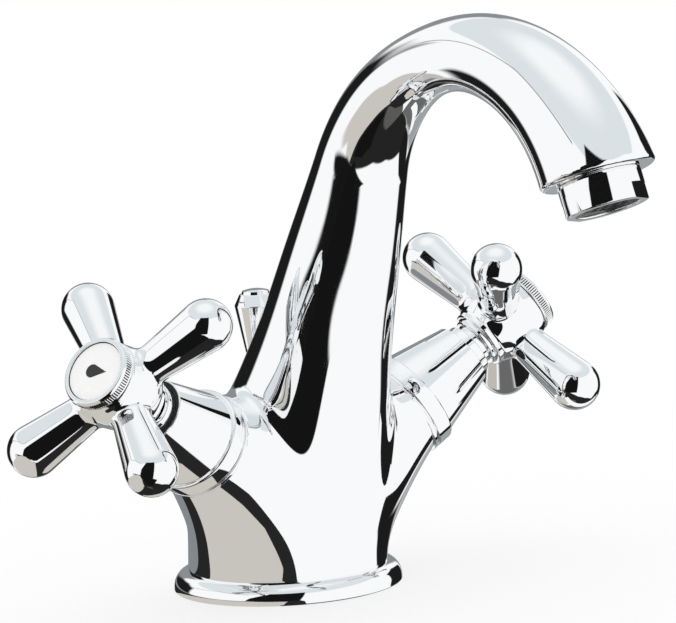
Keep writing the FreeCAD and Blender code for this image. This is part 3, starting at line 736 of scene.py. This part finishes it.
for side in handleSets:
    place = valvePlace(side)
    capPiece = makePiece(side + "IndexCap", *placed(capShape(), place), chrome)
    disc = makePiece(side + "IndexDisc", *placed(discShape(), place), finish["whiteEnamel"])
    # One black piece: the printed drop mark, and the painted shade rings in the disc's gap and the knurl's
    # grooves
    markAndShade = joinShapes(placed(dropShape(), place, mark["spin"]), placed(paintedShadeRings(), place))
    markAndShadePiece = makePiece(side + "IndexPrint", *markAndShade, finish["blackEnamel"])
    knurl = meshFromTree(side + "CapKnurl", knurlTree, {
        "Ridges": cap["ridges"], "Radius": cap["radius"] * mm, "Bar": cap["ridgeRadius"] * mm,
        "Length": cap["ridgeLength"] * mm, "Material": chrome})
    turn, origin = place
    upAxis = Matrix.Translation(Vector((0, 0, (capRun + cap["height"] / 2 - cap["ridgeDrop"]) * mm)))
    knurl.data.transform(Matrix.Translation(Vector(origin * mm)) @ Matrix(turn.tolist()).to_4x4() @ upAxis)
    if side == "left":
        knurl.data.flip_normals()     # its place is mirrored
    for part, slotName in ((capPiece, "chrome"), (disc, "index"), (markAndShadePiece, "index"), (knurl, "chrome")):
        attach(part, handleSets[side])
    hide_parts(side + "_index_cap")
    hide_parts(side + "_index_disc")
print("index caps")


# Aerator: a plain ring with two spanner flats, screwed into the spout's mouth
aerator = {"radius": 9.87, "length": 7.7, "lip": (7.5, 1.0), "bore": 8.3, "thread": (9.2, 8.0),
           "keyTurn": 62.0, "keyDepth": 1.1, "keyHeight": 3.7, "keyStep": 0.001, "footRound": 0.3,
           "lipRound": 0.4, "segments": 192, "sharp": 30}


def aeratorShape():
    length, radius, bore = aerator["length"], aerator["radius"], aerator["bore"]
    lipRadius, lipHeight = aerator["lip"]
    lipRound = aerator["lipRound"]
    threadRadius, threadLength = aerator["thread"]
    step = length - aerator["keyHeight"]
    outline = roundedOutline([
        (bore, -threadLength), (threadRadius, -threadLength), (threadRadius, 0),
        (radius, 0, aerator["footRound"]), (radius, step), (radius, step + aerator["keyStep"]),
        (radius, length, lipRound), (lipRadius, length, lipRound), (lipRadius, length - lipHeight),
        (bore, length - lipHeight)])
    points, faces = turnedShape(outline, aerator["segments"])
    turn = math.radians(aerator["keyTurn"])
    across = np.array([math.cos(turn), math.sin(turn), 0])
    reach = points @ across
    flat = radius - aerator["keyDepth"]
    cut = points[:, 2] > step + aerator["keyStep"] / 2
    points -= np.where(cut, reach - np.clip(reach, -flat, flat), 0)[:, None] * across
    return points, faces


housing = makePiece("aeratorRing", *placed(aeratorShape(), outletPlace), chrome, sharpAngle=aerator["sharp"])
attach(housing, tapBody)
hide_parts("aerator_housing")


# Lift rod and knob of the pop-up waste
lift = {"rodRadius": 2.5, "rodFoot": 2.0, "rodEdge": 0.3, "rodLap": 1.0, "rodSegments": 96,
        "knobFoot": 58.0, "footRadius": 3.2, "radius": 5.4, "cone": 12.0, "chamfer": (1.7, 3.4), "dome": 0.7,
        "domeSteps": 10, "footRound": 0.3, "wideRound": 0.5, "topRound": 0.3, "knobSegments": 128,
        "sharp": 30}
liftPlace = (np.eye(3), np.array([0, body["rodY"], 0]))


def knobShape():
    foot = lift["knobFoot"]
    wide = foot + lift["cone"]
    top = wide + lift["chamfer"][1]
    topRadius = lift["radius"] - lift["chamfer"][0]
    outline = roundedOutline([
        (0, foot), (lift["footRadius"], foot, lift["footRound"]), (lift["radius"], wide, lift["wideRound"]),
        (topRadius, top, lift["topRound"])])
    dome = crownPoints(topRadius, top, lift["dome"], lift["domeSteps"])[1:]
    return turnedShape(outline + dome, lift["knobSegments"])


def rodShape():
    radius, foot, edge = lift["rodRadius"], lift["rodFoot"], lift["rodEdge"]
    top = lift["knobFoot"] + lift["rodLap"]
    outline = [(0, foot), (radius - edge, foot), (radius, foot + edge), (radius, top), (0, top)]
    return turnedShape(outline, lift["rodSegments"])


knob = makePiece("liftKnob", *placed(knobShape(), liftPlace), chrome, sharpAngle=lift["sharp"])
rod = makePiece("liftRod", *placed(rodShape(), liftPlace), chrome, sharpAngle=lift["sharp"])
for part, node in ((knob, "lift_knob"), (rod, "lift_rod")):
    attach(part, liftSet)
    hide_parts(node)
print("aerator and lift rod")


# Inner pieces keep their own shapes and get their finishes. What isn't named here is chrome
innerFinish = {
    "headwork_body": "machinedBrass", "spindle": "machinedBrass", "base_gasket": "nitrileRubber",
    "seat_seal": "nitrileRubber", "spindle_seals": "nitrileRubber", "rod_seal": "nitrileRubber",
    "aerator_washer": "nitrileRubber", "headwork_washer": "vulcanisedFibre", "fixed_disc": "aluminaCeramic",
    "moving_disc": "aluminaCeramic", "circlip": "stainlessSteel", "handle_screw": "stainlessSteel",
    "aerator_screen": "stainlessSteel", "thrust_washer": "acetalPlastic", "aerator_insert": "acetalPlastic",
}
for name, node in nodes.items():
    plain = name.replace("left_", "").replace("right_", "")
    material = finish[innerFinish[plain]] if plain in innerFinish else chrome
    node.data.materials.clear()
    node.data.materials.append(material)
print("inner pieces")


# Floor, light and camera. The floor is white to the eye and keeps a share of the tap's shadow
stage = {"floorSize": 9.0, "floorColour": "#ffffff", "shadowShare": 0.35, "tentColour": "#ffffff",
         "light": 1.0}


def makeFloor():
    half = stage["floorSize"] / 2
    mesh = bpy.data.meshes.new("floor")
    corners = [(-half, -half, 0), (half, -half, 0), (half, half, 0), (-half, half, 0)]
    mesh.from_pydata(corners, [], [(0, 1, 2, 3)])
    material, tree = newMaterial("paleFloor")
    tint = linearColour(stage["floorColour"])
    shade = addNode(tree, "ShaderNodeBsdfDiffuse", {"Color": tint})
    glow = addNode(tree, "ShaderNodeEmission", {"Color": tint})
    rays = addNode(tree, "ShaderNodeLightPath")
    share = addMath(tree, "MULTIPLY", (rays, "Is Camera Ray"), 1 - stage["shadowShare"])
    blend = addNode(tree, "ShaderNodeMixShader", links={0: share, 1: (shade, "BSDF"), 2: (glow, "Emission")})
    addNode(tree, "ShaderNodeOutputMaterial", links={"Surface": (blend, "Shader")})
    mesh.materials.append(material)
    floor = bpy.data.objects.new("floor", mesh)
    bpy.context.scene.collection.objects.link(floor)
    floor.visible_glossy = False      # the tap mirrors the studio below instead


makeFloor()

# Studio that the chrome mirrors: a white tent with dark openings and a beige table. Each is a convex patch
# with a colour, a soft edge and corners in degrees, from the front towards the cold handle and up from level
patches = {
    "tentTop": {"corners": ((-400, 34.5), (400, 34.5), (400, 100), (-400, 100)),
                "colour": "#e0e6e9", "edge": 0.8},
    "tentLight": {"corners": ((-400, 64), (400, 64), (400, 120), (-400, 120)),
                  "colour": "#fbfcfc", "edge": 12.0},
    "seamLeft": {"corners": ((-162, 20), (-125, 34.5), (-125, 35.6), (-162, 21.1)),
                 "colour": "#707070", "edge": 0.5},
    "seamFront": {"corners": ((-125, 34.5), (-84, 32), (-84, 33.1), (-125, 35.6)),
                  "colour": "#606060", "edge": 0.5},
    "tableLeft": {"corners": ((-118, -14), (-90, -19), (-70, -26), (-80, -50), (-100, -76), (-125, -76),
                              (-162, -66), (-150, -34)), "colour": "#cdc8c1", "edge": 1.0},
    "tableEdge": {"corners": ((-125, -6), (-112, -11), (-104, -18), (-123, -18)),
                  "colour": "#cdc8c1", "edge": 1.0},
    "tableFar": {"corners": ((-195, -33), (-150, -34), (-162, -66), (-195, -50)),
                 "colour": "#c2bdb6", "edge": 1.5},
    "greyWall": {"corners": ((92, -42), (104, -24), (130, -14), (160, -20), (160, -46), (110, -60)),
                 "colour": "#a0a4a6", "edge": 2.0},
    "underBack": {"corners": ((84, -62), (92, -46), (185, -46), (185, -95), (84, -95)),
                  "colour": "#6a6a6a", "edge": 4.0},
    "gapRight": {"corners": ((70, -46), (74, -27), (86, -18), (104, -22), (92, -44), (84, -62)),
                 "colour": "#1c1c1c", "edge": 1.0},
    "stripRight": {"corners": ((85, -22), (89, 20), (108, 20), (122, 4), (128, -14), (110, -22)),
                   "colour": "#1c1c1c", "edge": 1.0},
    "rearGrey": {"corners": ((126, 14), (128, -18), (156, -22), (167, 17), (160, 26), (140, 33)),
                 "colour": "#8d9092", "edge": 3.0},
    "rear": {"corners": ((152, -4), (178, -30), (200, -26), (203, 18), (184, 23), (167, 17)),
             "colour": "#1c1c1c", "edge": 3.0},
    "underLeft": {"corners": ((-84, -22), (-64, -29), (-18, -51), (-18, -95), (-135, -95), (-110, -57),
                              (-92, -33)), "colour": "#242424", "edge": 1.0},
    "underFront": {"corners": ((-30, -47), (30, -53.5), (30, -95), (-30, -95)),
                   "colour": "#242424", "edge": 1.0},
    "underRight": {"corners": ((18, -53), (60, -46), (72, -44), (84, -62), (84, -95), (18, -95)),
                   "colour": "#242424", "edge": 1.0},
    "underGrey": {"corners": ((-100, -46), (-74, -46), (-60, -54), (-40, -70), (0, -80), (0, -95),
                              (-135, -95), (-118, -66)), "colour": "#5c5b5a", "edge": 1.5},
    "tableGap": {"corners": ((-122, -5), (-84, -10), (-74, -26), (-92, -20)),
                 "colour": "#161616", "edge": 0.8},
    "darkRoom": {"corners": ((-86, -8), (-74, -29), (-33, -29), (-20, 41), (-62, 41), (-80, 14)),
                 "colour": "#141414", "edge": 0.8},
}
# Cards on the floor that the chrome alone sees, with corners in millimetres, a later one on an earlier one
cards = {
    "clothFar": {"corners": ((-330, -10), (-300, 60), (-130, 80), (-60, 60), (-50, 30), (-72, 0),
                             (-100, -38), (-150, -48), (-240, -48)), "colour": "#cdc8c1"},
    "darkBand": {"corners": ((-100, -42), (-72, 0), (-45, 40), (0, 85), (30, 60), (-19, -34), (-29, -49),
                             (-50, -54)), "colour": "#262626"},
    "clothNear": {"corners": ((0, 10), (-27, -32.5), (-34, -33), (-54, -25), (-58, -14), (-56, 5), (-51, 10),
                              (-40, 16), (-20, 17)), "colour": "#cdc8c1"},
    "greyBack": {"corners": ((-50, 37), (30, 37), (60, 80), (0, 110), (-45, 75)), "colour": "#858a8e"},
    "darkFront": {"corners": ((-200, -60), (-100, -50), (-85, -60), (-85, -104), (-135, -114), (-215, -82)),
                  "colour": "#141414"},
    "paperRight": {"corners": ((22, -28), (140, -28), (140, -40), (100, -46), (22, -44)),
                   "colour": "#ffffff"},
}
cardLift = 0.1                    # millimetres from one card to the next, all just below the floor


def addCard(name, points, colour):
    mesh = bpy.data.meshes.new(name)
    mesh.from_pydata([[c * mm for c in point] for point in points], [], [range(len(points))])
    material, tree = newMaterial(name)
    glow = addNode(tree, "ShaderNodeEmission", {"Color": linearColour(colour)})
    addNode(tree, "ShaderNodeOutputMaterial", links={"Surface": (glow, "Emission")})
    mesh.materials.append(material)
    card = bpy.data.objects.new(name, mesh)
    bpy.context.scene.collection.objects.link(card)
    for ray in ("camera", "diffuse", "transmission", "volume_scatter", "shadow"):
        setattr(card, "visible_" + ray, False)


for level, (name, card) in enumerate(cards.items()):
    addCard(name, [(x, y, (level - len(cards)) * cardLift) for x, y in card["corners"]], card["colour"])


# How far inside a patch a direction lies, as a mask with a soft edge
def patchMask(tree, patch, around, above):
    corners = np.radians(patch["corners"])
    middle = corners[:, 0].mean()
    corners = corners - [middle, 0]
    following = np.roll(corners, -1, 0)
    area = (corners[:, 0] * following[:, 1] - following[:, 0] * corners[:, 1]).sum()
    across = addMath(tree, "WRAP", addMath(tree, "SUBTRACT", around, middle), math.pi, -math.pi)
    depth = None
    for (x, y), (dx, dy) in zip(corners, following - corners):
        scale = math.copysign(1, area) / math.hypot(dx, dy)
        rise = addMath(tree, "MULTIPLY_ADD", above, dx * scale, (dy * x - dx * y) * scale)
        inside = addMath(tree, "MULTIPLY_ADD", across, -dy * scale, rise)
        depth = addMath(tree, "MINIMUM", depth, inside) if depth else inside
    edge = math.radians(patch["edge"])
    mask = addNode(tree, "ShaderNodeMapRange",
                   {"interpolation_type": "SMOOTHSTEP", "From Min": -edge, "From Max": edge},
                   {"Value": depth})
    return mask, "Result"


# The world lights the tap with plain white, and shows the tent and its patches to mirrors alone
def makeStudio():
    world = bpy.data.worlds.new("studio")
    bpy.context.scene.world = world
    world.use_nodes = True
    tree = world.node_tree
    tree.nodes.clear()
    place = addNode(tree, "ShaderNodeTexCoord")
    parts = addNode(tree, "ShaderNodeSeparateXYZ", links={0: (place, "Generated")})
    front = addMath(tree, "MULTIPLY", (parts, "Y"), -1.0)
    around = addMath(tree, "ARCTAN2", (parts, "X"), front)
    above = addMath(tree, "ARCSINE", (parts, "Z"))
    tent = linearColour(stage["tentColour"])
    mixed = tent
    for patch in patches.values():
        mixed = mixColours(tree, patchMask(tree, patch, around, above), mixed, linearColour(patch["colour"]))
    plain = addNode(tree, "ShaderNodeBackground", {"Color": tent, "Strength": stage["light"]})
    mirrored = addNode(tree, "ShaderNodeBackground", {"Strength": stage["light"]}, {"Color": mixed})
    rays = addNode(tree, "ShaderNodeLightPath")
    blend = addNode(tree, "ShaderNodeMixShader", links={
        0: (rays, "Is Glossy Ray"), 1: (plain, "Background"), 2: (mirrored, "Background")})
    addNode(tree, "ShaderNodeOutputWorld", links={"Surface": (blend, "Shader")})


makeStudio()

# Camera at the photograph's angle, turned about the tap's upright and rolled a little
view = {"azimuth": -39.44, "elevation": 8.0, "roll": -3.23, "distance": 1200.0,
        "target": (20.89, 0.0, 65.91), "focalPixels": 4785.73, "frameWidth": 676,
        "sensorWidth": 36.0, "clipEnd": 100.0}


def makeCamera():
    azimuth, elevation, roll = (math.radians(view[name]) for name in ("azimuth", "elevation", "roll"))
    level = math.cos(elevation)
    backward = Vector((math.sin(azimuth) * level, -math.cos(azimuth) * level, math.sin(elevation)))
    sideways = Vector((math.cos(azimuth), math.sin(azimuth), 0))
    upward = backward.cross(sideways)
    rolledSide = math.cos(roll) * sideways + math.sin(roll) * upward
    rolledUp = -math.sin(roll) * sideways + math.cos(roll) * upward
    pose = Matrix((rolledSide, rolledUp, backward)).transposed().to_4x4()
    pose.translation = (Vector(view["target"]) + backward * view["distance"]) * mm
    data = bpy.data.cameras.new("camera")
    data.sensor_width = view["sensorWidth"]
    data.lens = view["focalPixels"] / view["frameWidth"] * view["sensorWidth"]
    data.clip_end = view["clipEnd"]
    camera = bpy.data.objects.new("camera", data)
    camera.matrix_world = pose
    bpy.context.scene.collection.objects.link(camera)
    bpy.context.scene.camera = camera


makeCamera()
bpy.context.scene.view_settings.view_transform = "Standard"
print("stage and camera")
